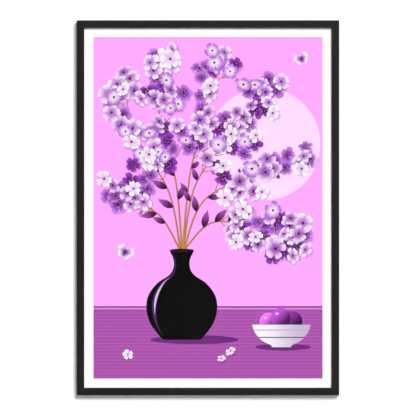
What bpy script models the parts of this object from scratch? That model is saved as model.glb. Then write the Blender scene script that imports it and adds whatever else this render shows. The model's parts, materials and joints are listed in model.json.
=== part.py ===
"""A framed print that hangs on a wall.

Four mitred rails hold a clear sheet, a printed sheet, a filler board and a backing board. Turn buttons on
the back keep the boards in, a saw-tooth hanger carries the frame on one nail, and two bumpers keep its foot
as far off the wall as the hanger keeps its head.

Blender 4.5, metres, +Z up. The front faces -Y and the wall is the plane y = 0. The origin is the middle
notch of the hanger, where the nail's shank bears.
"""

import math

import bmesh
import bpy
from mathutils import Matrix, Vector

MM = 0.001
SQUARE = math.radians(90)
CLEARANCE = 0.3 * MM  # between pieces that touch on the real frame

# Frame, over its outer edges
WIDTH = 700 * MM
HEIGHT = 1000 * MM
RAIL_FACE = 20 * MM
RAIL_DEPTH = 18 * MM
LIP_THICK = 6.5 * MM  # front to back, of the lip that the clear sheet lies against
LIP_REACH = 6.5 * MM  # how far the lip covers the edges of the sheets
FRONT_ARRIS = 1.2 * MM
BACK_ARRIS = 0.5 * MM
ARC_STEPS = 4  # straight steps in a quarter round

# Sheets, front to back
SHEET_PLAY = 0.5 * MM  # between a sheet's edge and the rail
GLAZING_THICK = 2 * MM
PRINT_THICK = 0.3 * MM
FILLER_THICK = 5 * MM
BACKING_THICK = RAIL_DEPTH - LIP_THICK - GLAZING_THICK - PRINT_THICK - FILLER_THICK - 4 * CLEARANCE

# Turn buttons and their screws
BUTTON_THICK = 1 * MM
BUTTON_WIDTH = 10 * MM
BUTTON_REACH = 23 * MM  # from the pivot to the tip of the tongue
BUTTON_ARRIS = 0.15 * MM
BUTTONS_ON_SHORT_RAIL = (-0.25, 0.25)  # places along a rail, as shares of its length
BUTTONS_ON_LONG_RAIL = (-0.34, 0.0, 0.34)
SCREW_INSET = 7 * MM  # from the frame's outer edge
SCREW_HEAD_RADIUS = 2.8 * MM
SCREW_HEAD_THICK = 1.6 * MM
SCREW_RADIUS = 1.5 * MM
SCREW_LENGTH = 10 * MM  # under the head
SCREW_TIP = 3 * MM
RECESS_DEPTH = 0.9 * MM
RECESS_SPAN = 3.2 * MM
RECESS_SLOT = 0.8 * MM
RECESS_TAPER = 0.8  # an arm's width at its end, as a share of RECESS_SLOT
TURNED_STEPS = 20

# Hanger and its nails
HANGER_LENGTH = 60 * MM
HANGER_HEIGHT = 10 * MM
HANGER_THICK = 0.8 * MM
HANGER_RISE = 2.4 * MM  # of the bridge over the feet, room for a nail's head
FOOT_LENGTH = 11 * MM
FOOT_CORNER = 2.5 * MM
RAMP_LENGTH = 4 * MM
TOOTH_PITCH = 2.5 * MM
TOOTH_DEPTH = 1.5 * MM
TOOTH_FLAT = 0.5 * MM
NOTCH_COUNT = 11
HANGER_INSET = 2 * MM  # from the frame's top edge to the strip
NAIL_HEAD_RADIUS = 2 * MM
NAIL_HEAD_THICK = 0.7 * MM
NAIL_RADIUS = 0.7 * MM
NAIL_LENGTH = 11 * MM
NAIL_TIP = 2 * MM

# Bumpers
BUMPER_RADIUS = 6 * MM
BUMPER_THICK = 3.7 * MM
BUMPER_ARRIS = 0.6 * MM
BUMPER_INSET = 7 * MM  # from the frame's outer edge
BUMPER_SIDES = 32
BUMPER_FROM_CORNER = 26 * MM

# Corner wedges, the V-shaped nails that pin the mitres
WEDGE_WING = 6 * MM
WEDGE_SPREAD = math.radians(50)  # of each wing from the mitre line
WEDGE_THICK = 0.5 * MM
WEDGE_HEIGHT = 10 * MM
WEDGE_INSET = 5.7 * MM  # of the V's point from both outer edges

# Places in the frame's depth and height that follow from the sizes
WALL_Y = 0.0
BACK_Y = WALL_Y - BUMPER_THICK - CLEARANCE
FRONT_Y = BACK_Y - RAIL_DEPTH
TOP_Z = HANGER_INSET + HANGER_HEIGHT - TOOTH_DEPTH
BOTTOM_Z = TOP_Z - HEIGHT
MIDDLE_Z = (TOP_Z + BOTTOM_Z) / 2
RABBET_WALL = RAIL_FACE - LIP_REACH
SHEET_WIDTH = WIDTH - 2 * (RABBET_WALL + SHEET_PLAY)
SHEET_HEIGHT = HEIGHT - 2 * (RABBET_WALL + SHEET_PLAY)

# Each side's turn about Y from the bottom rail's place, its middle, its length and its buttons
SIDES = {
    "bottom": (0.0, (0, BOTTOM_Z), WIDTH, BUTTONS_ON_SHORT_RAIL),
    "left": (SQUARE, (-WIDTH / 2, MIDDLE_Z), HEIGHT, BUTTONS_ON_LONG_RAIL),
    "top": (2 * SQUARE, (0, TOP_Z), WIDTH, BUTTONS_ON_SHORT_RAIL),
    "right": (-SQUARE, (WIDTH / 2, MIDDLE_Z), HEIGHT, BUTTONS_ON_LONG_RAIL),
}
FACE_ON = Matrix.Rotation(SQUARE, 4, "X")  # an outline drawn in x and y stands up in x and z
SECTION_TO_RAIL = Matrix.Rotation(-SQUARE, 4, "Y")  # a section drawn inwards and backwards runs along x
LEVEL = Matrix.Identity(4)
AXIS_TO_WALL = Matrix.Rotation(-SQUARE, 4, "X")  # a piece turned about z points its head at the wall


def clear_scene():
    for old in list(bpy.data.objects):
        bpy.data.objects.remove(old)


def new_collection(name):
    made = bpy.data.collections.new(name)
    bpy.context.scene.collection.children.link(made)
    return made


def new_material(name, colour, roughness, metallic=0.0, alpha=1.0):
    made = bpy.data.materials.new(name)
    made.use_nodes = True
    shader = made.node_tree.nodes["Principled BSDF"]
    shader.inputs["Base Color"].default_value = (*colour, 1.0)
    shader.inputs["Roughness"].default_value = roughness
    shader.inputs["Metallic"].default_value = metallic
    shader.inputs["Alpha"].default_value = alpha
    made.diffuse_color = (*colour, alpha)
    return made


def new_object(name, mesh, collection, place=(0, 0, 0), parent=None):
    made = bpy.data.objects.new(name, mesh)
    made.location = place
    made.parent = parent
    collection.objects.link(made)
    return made


def finish_piece(piece, material, smooth_under=30):
    """Gives a piece its material, and smooth shading on its round stretches."""
    mesh = piece.data
    if not mesh.materials:
        mesh.materials.append(material)
    mesh.shade_smooth()
    mesh.set_sharp_from_angle(angle=math.radians(smooth_under))
    return piece


def arc(centre, radius, start, end, steps):
    """Points on an arc, both ends included."""
    angles = [start + (end - start) * i / steps for i in range(steps + 1)]
    return [(centre[0] + radius * math.cos(a), centre[1] + radius * math.sin(a)) for a in angles]


def rounded(corners, steps=ARC_STEPS):
    """A closed outline through corners of (x, y, radius), each rounded by its radius."""
    outline = []
    for i, (x, y, radius) in enumerate(corners):
        here = Vector((x, y))
        before = (Vector(corners[i - 1][:2]) - here).normalized()
        after = (Vector(corners[(i + 1) % len(corners)][:2]) - here).normalized()
        if radius == 0:
            outline.append((x, y))
            continue
        half = before.angle(after) / 2
        centre = here + (before + after).normalized() * (radius / math.sin(half))
        first = here + before * (radius / math.tan(half)) - centre
        last = here + after * (radius / math.tan(half)) - centre
        start = math.atan2(first.y, first.x)
        sweep = (math.atan2(last.y, last.x) - start + math.pi) % (2 * math.pi) - math.pi
        outline += arc(centre, radius, start, start + sweep, steps)
    return outline


def circle(centre, radius, steps):
    return arc(centre, radius, 0, 2 * math.pi, steps)[:-1]


def band(line, half_width, overrun=0.0):
    """The outline of a strip that follows an open line of points, its corners mitred."""
    points = [Vector(p) for p in line]
    points[0] = points[0] + (points[0] - points[1]).normalized() * overrun
    points[-1] = points[-1] + (points[-1] - points[-2]).normalized() * overrun
    runs = [(b - a).normalized() for a, b in zip(points, points[1:])]
    runs = [runs[0], *runs, runs[-1]]
    left, right = [], []
    for point, run_in, run_out in zip(points, runs, runs[1:]):
        normal = Vector((-run_in.y - run_out.y, run_in.x + run_out.x)).normalized()
        reach = half_width / normal.dot(Vector((-run_in.y, run_in.x)))
        left.append(tuple(point + normal * reach))
        right.append(tuple(point - normal * reach))
    return left + right[::-1]


def plate(outlines, thickness, turn=LEVEL):
    """A mesh cut from flat sheet to closed outlines in x and y, centred on z = 0, then turned."""
    curve = bpy.data.curves.new("outline", "CURVE")
    curve.dimensions = "2D"
    curve.fill_mode = "BOTH"
    curve.extrude = thickness / 2
    for outline in outlines:
        spline = curve.splines.new("POLY")
        spline.points.add(len(outline) - 1)
        for point, (x, y) in zip(spline.points, outline):
            point.co = (x, y, 0, 1)
        spline.use_cyclic_u = True
    drawn = new_object("outline", curve, bpy.context.scene.collection)
    mesh = evaluated_mesh(drawn)
    weld(mesh)
    mesh.transform(turn)
    return mesh


def evaluated_mesh(drawn):
    """The mesh of an object with its modifiers, in place of the object."""
    bpy.context.view_layer.update()
    mesh = bpy.data.meshes.new_from_object(drawn.evaluated_get(bpy.context.evaluated_depsgraph_get()))
    bpy.data.objects.remove(drawn)
    return mesh


def weld(mesh):
    """Joins the loose caps of a filled outline to its sides, faces outwards."""
    bm = bmesh.new()
    bm.from_mesh(mesh)
    bmesh.ops.remove_doubles(bm, verts=bm.verts, dist=0.001 * MM)
    bmesh.ops.dissolve_limit(bm, angle_limit=math.radians(0.1), verts=bm.verts, edges=bm.edges)
    bmesh.ops.recalc_face_normals(bm, faces=bm.faces)
    bm.to_mesh(mesh)
    bm.free()


def merged(name, placed):
    """One mesh of several (mesh, matrix) pairs that don't touch each other."""
    bm = bmesh.new()
    for mesh, matrix in placed:
        part = mesh.copy()
        part.transform(matrix)
        bm.from_mesh(part)
        bpy.data.meshes.remove(part)
    mesh = bpy.data.meshes.new(name)
    bm.to_mesh(mesh)
    bm.free()
    return mesh


def rod(radius, low, high, sides=TURNED_STEPS):
    """A cylinder mesh along y, from low to high."""
    bm = bmesh.new()
    bmesh.ops.create_cone(
        bm, cap_ends=True, segments=sides, radius1=radius, radius2=radius, depth=high - low
    )
    bmesh.ops.rotate(bm, verts=bm.verts, matrix=AXIS_TO_WALL.to_3x3())
    bmesh.ops.translate(bm, verts=bm.verts, vec=(0, (low + high) / 2, 0))
    mesh = bpy.data.meshes.new("rod")
    bm.to_mesh(mesh)
    bm.free()
    return mesh


def turned(profile, steps=TURNED_STEPS):
    """A mesh turned about z from a profile of (radius, z), top to bottom, its ends on the axis."""
    mesh = bpy.data.meshes.new("profile")
    points = [(radius, 0, z) for radius, z in profile]
    mesh.from_pydata(points, [(i, i + 1) for i in range(len(points) - 1)], [])
    drawn = new_object("profile", mesh, bpy.context.scene.collection)
    lathe = drawn.modifiers.new("lathe", "SCREW")
    lathe.steps = lathe.render_steps = steps
    lathe.use_merge_vertices = True
    lathe.merge_threshold = 0.001 * MM
    return evaluated_mesh(drawn)


def cut(piece, cutter, operation="DIFFERENCE"):
    tool = piece.modifiers.new(cutter.name, "BOOLEAN")
    tool.operation = operation
    tool.solver = "EXACT"
    tool.object = cutter
    return piece


def new_cutter(name, mesh, collection, place=(0, 0, 0), parent=None):
    made = new_object(name, mesh, collection, place, parent)
    made.hide_render = True
    made.display_type = "WIRE"
    return made


def rail_section():
    """The rail's section: x runs inwards from the outer edge, y backwards from the front face."""
    return rounded(
        [
            (0, 0, FRONT_ARRIS),
            (RAIL_FACE, 0, FRONT_ARRIS),
            (RAIL_FACE, LIP_THICK, 0),
            (RABBET_WALL, LIP_THICK, 0),
            (RABBET_WALL, RAIL_DEPTH, 0),
            (0, RAIL_DEPTH, BACK_ARRIS),
        ]
    )


def rail_mesh(length):
    """A rail along x, outer edge at z = 0, inwards +z, front face at y = 0, both ends sawn at 45 degrees."""
    mesh = plate([rail_section()], length, SECTION_TO_RAIL)
    bm = bmesh.new()
    bm.from_mesh(mesh)
    for end in (-1, 1):
        outwards = Vector((end, 0, 1)).normalized()
        corner = Vector((end * length / 2, 0, 0))
        sawn = bmesh.ops.bisect_plane(
            bm,
            geom=[*bm.verts, *bm.edges, *bm.faces],
            dist=0.001 * MM,
            plane_co=corner - outwards * CLEARANCE / 2,
            plane_no=outwards,
            clear_outer=True,
        )
        rim = [e for e in sawn["geom_cut"] if isinstance(e, bmesh.types.BMEdge)]
        bmesh.ops.edgeloop_fill(bm, edges=rim)
    bmesh.ops.recalc_face_normals(bm, faces=bm.faces)
    bm.to_mesh(mesh)
    bm.free()
    return mesh


def wedge_mesh(clearance=0.0):
    """The V of a corner wedge, its point at the origin and its wings opening along +z."""
    wing_x = WEDGE_WING * math.sin(WEDGE_SPREAD)
    wing_z = WEDGE_WING * math.cos(WEDGE_SPREAD)
    line = [(-wing_x, wing_z), (0, 0), (wing_x, wing_z)]
    outline = band(line, WEDGE_THICK / 2 + clearance, overrun=clearance)
    return plate([outline], WEDGE_HEIGHT + 2 * clearance, FACE_ON)


def wedge_place(length, end):
    """Where a wedge stands at an end of a rail, its wings opening along the mitre towards the sheets."""
    place = Vector((end * (length / 2 - WEDGE_INSET), RAIL_DEPTH - CLEARANCE - WEDGE_HEIGHT / 2, WEDGE_INSET))
    return Matrix.Translation(place) @ Matrix.Rotation(-end * SQUARE / 2, 4, "Y")


def wedge_slots(length):
    """Slots for the wedges at both ends of a rail, open at its back."""
    slot = wedge_mesh(clearance=CLEARANCE)
    return [(slot, Matrix.Translation((0, CLEARANCE, 0)) @ wedge_place(length, end)) for end in (-1, 1)]


def screw_holes(length, shares):
    """Pilot holes for the button screws, which start behind the rail and stop short of its face."""
    under_head = RAIL_DEPTH + 2 * CLEARANCE + BUTTON_THICK
    hole = rod(SCREW_RADIUS + CLEARANCE, under_head - SCREW_LENGTH - CLEARANCE, under_head)
    return [(hole, Matrix.Translation((share * length, 0, SCREW_INSET))) for share in shares]


def nail_holes():
    """Pilot holes for the two nails of the hanger, in the top rail."""
    under_head = RAIL_DEPTH + 2 * CLEARANCE + HANGER_THICK
    hole = rod(NAIL_RADIUS + CLEARANCE, under_head - NAIL_LENGTH - CLEARANCE, under_head)
    inset = HANGER_INSET + HANGER_HEIGHT / 2
    return [(hole, Matrix.Translation((x, 0, inset))) for x in foot_centres()]


def foot_centres():
    middle = HANGER_LENGTH / 2 - FOOT_LENGTH / 2
    return (-middle, middle)


def button_mesh():
    """A turn button in x and z: its pivot hole at the origin, its tongue along +z."""
    end_radius = BUTTON_WIDTH / 2
    heel = arc((0, 0), end_radius, math.pi, 2 * math.pi, 3 * ARC_STEPS)
    tip = arc((0, BUTTON_REACH - end_radius), end_radius, 0, math.pi, 3 * ARC_STEPS)
    hole = circle((0, 0), SCREW_RADIUS + CLEARANCE, TURNED_STEPS)
    blank = new_object("blank", plate([heel + tip, hole], BUTTON_THICK, FACE_ON), bpy.context.scene.collection)
    arris = blank.modifiers.new("arris", "BEVEL")
    arris.width = BUTTON_ARRIS
    arris.segments = 1
    arris.limit_method = "ANGLE"
    arris.angle_limit = math.radians(60)
    return evaluated_mesh(blank)


def screw_mesh():
    """A pan-head wood screw about y, the underside of its head at y = 0 and its point at -y."""
    dome = arc((0, 0), 1, SQUARE, 0, 2 * ARC_STEPS)
    profile = [(SCREW_HEAD_RADIUS * x, SCREW_HEAD_THICK * y) for x, y in dome]
    profile[0] = (0, SCREW_HEAD_THICK)
    profile += [(SCREW_RADIUS, 0), (SCREW_RADIUS, SCREW_TIP - SCREW_LENGTH), (0, -SCREW_LENGTH)]
    blank = new_object("blank", turned(profile), bpy.context.scene.collection)
    blank.data.transform(AXIS_TO_WALL)
    arm, half = RECESS_SPAN / 2, RECESS_SLOT / 2
    quarter = [(arm, -half * RECESS_TAPER), (arm, half * RECESS_TAPER), (half, half)]
    cross = [
        (x * math.cos(a) - z * math.sin(a), x * math.sin(a) + z * math.cos(a))
        for a in (0, SQUARE, 2 * SQUARE, 3 * SQUARE)
        for x, z in quarter
    ]
    recess = new_object("recess", plate([cross], 2 * RECESS_DEPTH, FACE_ON), bpy.context.scene.collection)
    recess.location.y = SCREW_HEAD_THICK
    mesh = evaluated_mesh(cut(blank, recess))
    bpy.data.objects.remove(recess)
    return mesh


def nail_mesh():
    """A flat-head nail about y, the underside of its head at y = 0 and its point at -y."""
    rim = NAIL_HEAD_THICK / 4
    profile = [
        (0, NAIL_HEAD_THICK),
        (NAIL_HEAD_RADIUS - rim, NAIL_HEAD_THICK),
        (NAIL_HEAD_RADIUS, NAIL_HEAD_THICK - rim),
        (NAIL_HEAD_RADIUS, 0),
        (NAIL_RADIUS, 0),
        (NAIL_RADIUS, NAIL_TIP - NAIL_LENGTH),
        (0, -NAIL_LENGTH),
    ]
    mesh = turned(profile)
    mesh.transform(AXIS_TO_WALL)
    return mesh


def bent_strip():
    """The hanger's strip seen from above: flat feet, two ramps and a bridge, y = 0 at the rail's back."""
    end = HANGER_LENGTH / 2
    foot_y = CLEARANCE + HANGER_THICK / 2
    bridge_y = foot_y + HANGER_RISE
    half = [(end, foot_y), (end - FOOT_LENGTH, foot_y), (end - FOOT_LENGTH - RAMP_LENGTH, bridge_y)]
    line = [(-x, y) for x, y in half] + half[::-1]
    return band(line, HANGER_THICK / 2)


def toothed_blank():
    """The hanger seen from the wall: rounded ends, nail holes, and notches up to z = 0."""
    end, low, high = HANGER_LENGTH / 2, -TOOTH_DEPTH, HANGER_HEIGHT - TOOTH_DEPTH
    ends = rounded(
        [(end, low, FOOT_CORNER), (end, high, FOOT_CORNER), (-end, high, FOOT_CORNER), (-end, low, FOOT_CORNER)]
    )
    notches = []
    for i in range(NOTCH_COUNT):
        middle = (i - (NOTCH_COUNT - 1) / 2) * TOOTH_PITCH
        mouth = (TOOTH_PITCH - TOOTH_FLAT) / 2
        notches += [(middle - mouth, low), (middle, 0.0), (middle + mouth, low)]
    holes = [circle((x, (low + high) / 2), NAIL_RADIUS + CLEARANCE, TURNED_STEPS) for x in foot_centres()]
    return [ends + notches, *holes]


def add_sheet(name, thickness, front_y, material, collection, parent):
    """A rectangular sheet or board, its front face at front_y, in the rabbet of the rails."""
    bm = bmesh.new()
    bmesh.ops.create_cube(bm, size=1.0)
    bmesh.ops.scale(bm, verts=bm.verts, vec=(SHEET_WIDTH, thickness, SHEET_HEIGHT))
    mesh = bpy.data.meshes.new(name)
    bm.to_mesh(mesh)
    bm.free()
    sheet = new_object(name, mesh, collection, (0, front_y + thickness / 2, MIDDLE_Z), parent)
    finish_piece(sheet, material)
    return front_y + thickness + CLEARANCE


def add_sheets(materials, collection, parent):
    y = FRONT_Y + LIP_THICK + CLEARANCE
    y = add_sheet("glazing", GLAZING_THICK, y, materials["clear acrylic"], collection, parent)
    y = add_sheet("printed_sheet", PRINT_THICK, y, materials["printed paper"], collection, parent)
    y = add_sheet("filler_board", FILLER_THICK, y, materials["corrugated card"], collection, parent)
    add_sheet("backing_board", BACKING_THICK, y, materials["hardboard"], collection, parent)


def add_side(name, meshes, materials, parts, cutters, parent):
    """One rail with its buttons and screws, and the wedge at its +x end, on an empty at its outer edge."""
    angle, (x, z), length, shares = SIDES[name]
    side = new_object(f"{name}_side", None, parts, (x, FRONT_Y, z), parent)
    side.rotation_euler.y = angle

    drilled = wedge_slots(length) + screw_holes(length, shares)
    if name == "top":
        drilled += nail_holes()
    drill = new_cutter(f"{name}_drill", merged(f"{name}_drill", drilled), cutters, parent=side)
    rail = new_object(f"rail_{name}", rail_mesh(length), parts, parent=side)
    cut(finish_piece(rail, materials["black satin paint"]), drill)

    wedge = new_object(f"corner_wedge_{name}", meshes["wedge"], parts, parent=side)
    wedge.matrix_local = wedge_place(length, 1)
    finish_piece(wedge, materials["zinc plated steel"])

    button_y = RAIL_DEPTH + CLEARANCE + BUTTON_THICK / 2
    head_y = RAIL_DEPTH + 2 * CLEARANCE + BUTTON_THICK
    for number, share in enumerate(shares, start=1):
        along = share * length
        place = (along, button_y, SCREW_INSET)
        button = new_object(f"turn_button_{name}_{number}", meshes["button"], parts, place, side)
        finish_piece(button, materials["nickel plated steel"])
        place = (along, head_y, SCREW_INSET)
        screw = new_object(f"button_screw_{name}_{number}", meshes["screw"], parts, place, side)
        finish_piece(screw, materials["zinc plated steel"])


def add_hanger(meshes, materials, parts, cutters, parent):
    strip = plate([bent_strip()], HANGER_HEIGHT)
    place = (0, BACK_Y, HANGER_HEIGHT / 2 - TOOTH_DEPTH)
    hanger = new_object("hanger", strip, parts, place, parent)
    blank = plate(toothed_blank(), 4 * HANGER_RISE, FACE_ON)
    outline = new_cutter("hanger_blank", blank, cutters, (0, BACK_Y, 0), parent)
    cut(finish_piece(hanger, materials["brassed steel"]), outline, "INTERSECT")
    head_y = BACK_Y + 2 * CLEARANCE + HANGER_THICK
    for side, x in zip(("left", "right"), foot_centres()):
        place = (x, head_y, HANGER_HEIGHT / 2 - TOOTH_DEPTH)
        nail = new_object(f"hanger_nail_{side}", meshes["nail"], parts, place, parent)
        finish_piece(nail, materials["brassed steel"])


def add_bumpers(materials, parts, parent):
    mesh = rod(BUMPER_RADIUS, 0, BUMPER_THICK, BUMPER_SIDES)
    for side, sign in (("left", -1), ("right", 1)):
        x = sign * (WIDTH / 2 - BUMPER_FROM_CORNER)
        place = (x, BACK_Y + CLEARANCE, BOTTOM_Z + BUMPER_INSET)
        bumper = new_object(f"bumper_{side}", mesh, parts, place, parent)
        finish_piece(bumper, materials["soft black rubber"])
        arris = bumper.modifiers.new("arris", "BEVEL")
        arris.width = BUMPER_ARRIS
        arris.segments = 2
        arris.limit_method = "ANGLE"
        arris.angle_limit = math.radians(60)


def new_materials():
    """Base colours are linear, as the shader takes them."""
    return {
        "black satin paint": new_material("black satin paint", (0.021, 0.021, 0.021), 0.5),
        "clear acrylic": new_material("clear acrylic", (0.95, 0.97, 0.97), 0.05, alpha=0.12),
        "printed paper": new_material("printed paper", (0.92, 0.72, 0.92), 0.7),
        "corrugated card": new_material("corrugated card", (0.45, 0.30, 0.17), 0.85),
        "hardboard": new_material("hardboard", (0.19, 0.10, 0.05), 0.65),
        "nickel plated steel": new_material("nickel plated steel", (0.62, 0.60, 0.56), 0.3, 1.0),
        "zinc plated steel": new_material("zinc plated steel", (0.60, 0.62, 0.64), 0.35, 1.0),
        "brassed steel": new_material("brassed steel", (0.76, 0.58, 0.27), 0.3, 1.0),
        "soft black rubber": new_material("soft black rubber", (0.02, 0.02, 0.02), 0.75),
    }


def build():
    clear_scene()
    parts = new_collection("framed_print")
    cutters = new_collection("cutters")
    whole = new_object("framed_print_origin", None, parts)
    materials = new_materials()
    meshes = {
        "button": button_mesh(),
        "screw": screw_mesh(),
        "nail": nail_mesh(),
        "wedge": wedge_mesh(),
    }
    for name in SIDES:
        add_side(name, meshes, materials, parts, cutters, whole)
    add_sheets(materials, parts, whole)
    add_hanger(meshes, materials, parts, cutters, whole)
    add_bumpers(materials, parts, whole)


build()
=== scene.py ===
"""The looks of a framed print: black rails, clear sheet, printed still life, boards and steel fittings.

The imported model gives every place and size. Metres, +Z up, the front faces -Y and the wall is y = 0. Sizes
on the printed sheet are in millimetres from its middle, x to the right and z up.
"""

import cmath
import json
import math
import random

import bmesh
import bpy
from mathutils import Matrix, Vector
from mathutils.geometry import delaunay_2d_cdt


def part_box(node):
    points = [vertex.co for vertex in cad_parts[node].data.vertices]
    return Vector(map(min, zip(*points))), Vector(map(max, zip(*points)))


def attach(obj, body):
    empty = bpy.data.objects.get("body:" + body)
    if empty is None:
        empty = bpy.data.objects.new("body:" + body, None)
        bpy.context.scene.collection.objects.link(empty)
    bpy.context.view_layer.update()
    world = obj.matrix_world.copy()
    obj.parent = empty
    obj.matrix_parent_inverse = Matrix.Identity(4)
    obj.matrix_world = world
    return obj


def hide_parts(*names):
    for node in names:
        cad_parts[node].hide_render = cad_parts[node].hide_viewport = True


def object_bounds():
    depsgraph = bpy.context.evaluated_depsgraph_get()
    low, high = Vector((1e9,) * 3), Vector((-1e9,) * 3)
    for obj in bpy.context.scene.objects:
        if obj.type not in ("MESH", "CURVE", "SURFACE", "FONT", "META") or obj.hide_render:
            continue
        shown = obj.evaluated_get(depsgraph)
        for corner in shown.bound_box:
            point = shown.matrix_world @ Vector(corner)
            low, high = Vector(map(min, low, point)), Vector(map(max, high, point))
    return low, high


MM = 0.001
QUARTER = math.radians(90)

# Modelling
TOUCH = 0.02 * MM  # places nearer than this are the same
DOUBLED = 0.002 * MM  # points nearer than this are merged
ON_CUT = 0.001 * MM
FACING = 0.9  # how nearly a face's normal points one way
FOLLOWING = 0.999  # how nearly an edge runs one way

# Rails
LIP_THICK = 6.5 * MM
LIP_REACH = 6.5 * MM
FRONT_ARRIS = 1.2 * MM
BACK_ARRIS = 0.5 * MM
MITRE_ARRIS = 0.12 * MM
WEDGE_ROOM = 0.12 * MM
SIDE_TURNS = {"bottom": 0.0, "left": QUARTER, "top": 2 * QUARTER, "right": -QUARTER}

# Turn buttons and screws
BUTTON_SIDES = 48
BUTTON_ARRIS = 0.22 * MM
BUTTON_HOLE = 1.8 * MM
PIN_SIDES = 40
SCREW_CROWN = 1.15 * MM
SCREW_CROWN_SHAPE = 0.42
SCREW_HEAD_EASE = 0.15 * MM
SCREW_SHANK = 1.5 * MM
SCREW_NECK = 2 * MM  # the head's underside is eased beyond it
SCREW_POINT = 3 * MM
SCREW_STOPS = math.radians(34)  # each screw's turn from the last one's
RECESS_SPAN = 3.3 * MM
RECESS_SLOT = 0.85 * MM
RECESS_DEPTH = 1.0 * MM
RECESS_TAPER = 0.55

# Hanger, its nails and the bumpers
STRIP_THICK = 0.8 * MM
STRIP_CORNER = 2.5 * MM
STRIP_ARRIS = 0.14 * MM
STRIP_BEND = 0.5 * MM
STRIP_FOOT = 11 * MM
STRIP_RAMP = 4 * MM
TOOTH_PITCH = 2.5 * MM
TOOTH_FLAT = 0.5 * MM
TOOTH_DEPTH = 1.5 * MM
TOOTH_COUNT = 11
NAIL_HEAD = 0.7 * MM
NAIL_SHANK = 0.7 * MM
NAIL_CROWN = 0.3 * MM
NAIL_POINT = 2 * MM
BUMPER_SIDES = 56
BUMPER_CROWN = 1.0 * MM
BUMPER_FOOT = 0.3 * MM

# Finishes
SHEET_IOR = 1.22  # coated, so less than bare acrylic's 1.49
# Slot, dark and light of the coat, and how fine its clouds are
NICKEL = ("nickel_plated_steel", (0.50, 0.475, 0.43), (0.66, 0.635, 0.59), 240.0)
ZINC = ("zinc_plated_steel", (0.50, 0.53, 0.57), (0.68, 0.70, 0.72), 420.0)
BRASS = ("brassed_steel", (0.62, 0.44, 0.17), (0.82, 0.64, 0.31), 260.0)

# Camera, light and stage
LENS = 400.0
SENSOR = 36.0
VIEW_WIDTH = 1.1094  # across the picture, at the frame's front
AIM_LOW = 0.6 * MM  # the camera's aim, below the frame's middle
FLOOR_DROP = 0.95  # from the frame's foot to the floor
KEY_RIGHT = math.radians(20)
KEY_UP = math.radians(29)
KEY_SPREAD = math.radians(28)
KEY_STRENGTH = 3.6
FILL_STRENGTH = 0.27
DIM_SHARE = 0.12  # of the room's light, behind the camera
DIM_FROM, DIM_TO = math.radians(28), math.radians(10)
BACKDROP = 0.62  # how bright the camera sees it past the wall
BACK_LAMP_POWER = 60.0
BACK_LAMP_SIZE = 1.6
BACK_LAMP_SPOT = (-1.1, 2.2, 0.9)  # from the frame's middle

# Inks, in the 0 to 255 of a colour picker
PAPER_WHITE = (255, 255, 255)
FIELD_PINK = (255, 170, 255)
PALE_PINK = (255, 219, 255)
ORCHID = (214, 165, 216)
VIOLET = (168, 80, 168)
SOFT_VIOLET = (190, 110, 192)
DEEP_VIOLET = (96, 36, 112)
PLUM = (58, 20, 72)
RIPE_PLUM = (132, 56, 146)
TABLE_SHADE = (112, 44, 122)
INK_BLACK = (2, 2, 3)
VASE_SHEEN = (74, 40, 92)
VASE_GLINT = (226, 190, 240)
VASE_MOUTH = (34, 22, 42)
GOLDEN = (206, 150, 56)
BARK_BROWN = (140, 90, 34)
POLLEN = (236, 190, 92)
PORCELAIN = (250, 246, 252)
PORCELAIN_SHADE = (200, 184, 210)
INK_DENSITY = 0.815  # an ink's light against its picker's colour
SHADE_SHARE = 0.76  # what a shadow leaves of what is under it

# Root ink, tip ink, veins and how often, the darkest first, as they are printed
FLOWER_TINTS = [
    ((78, 10, 108), (156, 66, 192), 0.8, 4),
    ((112, 26, 150), (204, 130, 234), 0.8, 4),
    ((146, 56, 184), (252, 216, 255), 0.8, 5),
    ((186, 104, 216), (255, 240, 255), 0.7, 6),
    ((255, 232, 250), (184, 100, 224), 0.6, 3),
    ((238, 196, 246), (255, 252, 255), 0.5, 4),
]

# The printed design, its spots as complex numbers: x + z * 1j
DESIGN_SEED = 11
CUT_NEAR = 0.002  # outline points nearer than this are one
FIELD_HALF_WIDTH = 306
FIELD_HALF_HEIGHT = 456
DISC_CENTRE = 150+170j
DISC_RADIUS = 150
TABLE_TOP = -262
TABLE_LINE_PITCH = 9.0
TABLE_LINE = 1.2
BRANCHES = [
    [-74-110j, -104+40j, -180+170j, -246+318j],
    [-70-110j, -86+70j, -130+240j, -112+408j],
    [-68-110j, -48+90j, -10+240j, 24+404j],
    [-66-110j, -34+60j, 60+190j, 168+322j],
    [-64-110j, -10+20j, 130+90j, 262+128j],
    [-76-110j, -130-20j, -210+20j, -276+50j],
    [-62-110j, 10-40j, 120-50j, 236-84j],
]
LEAF_SHARES = (0.25, 0.36, 0.48)  # of a branch's length
SHOOT_SHARES = (0.42, 0.52, 0.62, 0.72, 0.82, 0.92)
FLOWER_SHARES = (0.55, 0.64, 0.73, 0.82, 0.91, 1.0)
FLOWER_ROOM = 17.0  # the least distance between two flowers
FLOWER_MARGIN = 26  # from the field's edge
FLOWER_LIFT = 60  # from the table's top
FLOWER_SHADE = 2.2-3.4j  # from a flower to its shadow
VASE_FOOT = -70-352j
VASE_HALF = [46+0j, 56+6j, 82+40j, 94+78j, 90+116j, 66+150j, 34+172j, 22+192j, 22+214j, 30+232j, 33+238j]
BOWL_FOOT = 196-372j
BOWL_HALF = [26+0j, 28+5j, 52+18j, 70+38j, 78+60j]
BOWL_BANDS = ((19, 21, DEEP_VIOLET), (26, 28, ORCHID))
PLUMS = ((-34+68j, 25, VIOLET), (30+70j, 26, DEEP_VIOLET), (-2+78j, 27, RIPE_PLUM))
LOOSE_FLOWERS = ((60-382j, 15), (36-402j, 12), (-214-392j, 14))
MOTHS = ((-222-120j, 26, -0.5), (250+396j, 22, 0.4))
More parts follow.
